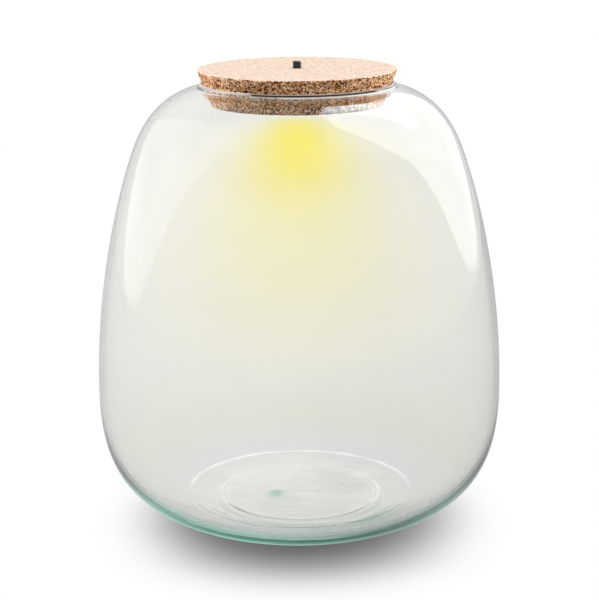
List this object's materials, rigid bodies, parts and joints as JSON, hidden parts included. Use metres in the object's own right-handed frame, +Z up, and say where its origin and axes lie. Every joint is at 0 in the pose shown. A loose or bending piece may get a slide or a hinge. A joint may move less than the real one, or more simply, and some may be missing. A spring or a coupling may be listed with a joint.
{
  "type": "lighted terrarium bottle",
  "caption": "Round-bottomed blown glass terrarium bottle with a tapered cork stopper that holds a battery light, switched by a push button in its top.",
  "frame": {"origin": "on the bottle's axis, in the plane of its foot ring", "axes": "+Z up along the bottle's axis, +X along the battery cells"},
  "size_m": [0.25, 0.25, 0.2831],
  "materials": {
    "glass": "clear blown glass with a faint green tint, fire-polished lip",
    "cork": "pressed cork granules, sanded top, sawn sides",
    "foam": "matte double-sided foam tape",
    "white_plastic": "fine moulded texture",
    "black_plastic": "smooth moulded",
    "stem_plastic": "natural moulded",
    "frosted_plastic": "frosted, lit from inside",
    "lamp_resin": "yellow clear resin",
    "steel": "plain bright",
    "nickel": "nickel plated",
    "board": "green lacquered laminate",
    "resistor": "beige lacquer with plain colour rings",
    "cell_wrap": "shrunk plastic sleeve over a steel can",
    "red_insulation": "smooth",
    "black_insulation": "smooth"
  },
  "bodies": {
    "bottle": {"glass_bottle": "glass"},
    "stopper": {"cork_stopper": "cork", "adhesive_ring": "foam", "light_housing": "white_plastic", "switch_plate": "steel", "switch_case": "black_plastic", "return_spring": "steel", "circuit_board": "board", "board_screw_1": "steel", "board_screw_2": "steel", "lamp": "lamp_resin", "lamp_lead_1": "nickel", "lamp_lead_2": "nickel", "resistor": "resistor", "battery_cell_1": "cell_wrap", "battery_cell_2": "cell_wrap", "positive_contact": "nickel", "negative_contact": "nickel", "bridge_contact": "nickel", "red_wire": "red_insulation", "black_wire": "black_insulation"},
    "button": {"push_button": "black_plastic", "switch_stem": "stem_plastic"},
    "cover": {"battery_cover": "white_plastic", "lamp_lens": "frosted_plastic"}
  },
  "joints": [
    {"name": "stopper_lift", "type": "slide", "parent": "bottle", "child": "stopper", "axis": [0, 0, 1], "range_m": [0, 0.16]},
    {"name": "button_press", "type": "slide", "parent": "stopper", "child": "button", "axis": [0, 0, -1], "range_m": [0, 0.0018], "stiffness_N_per_m": 400, "springref_m": -0.0015, "deforming": ["return_spring"]},
    {"name": "cover_twist", "type": "hinge", "parent": "stopper", "child": "cover", "pos_m": [0, 0, 0.258], "axis": [0, 0, 1], "range_deg": [0, 40]}
  ]
}
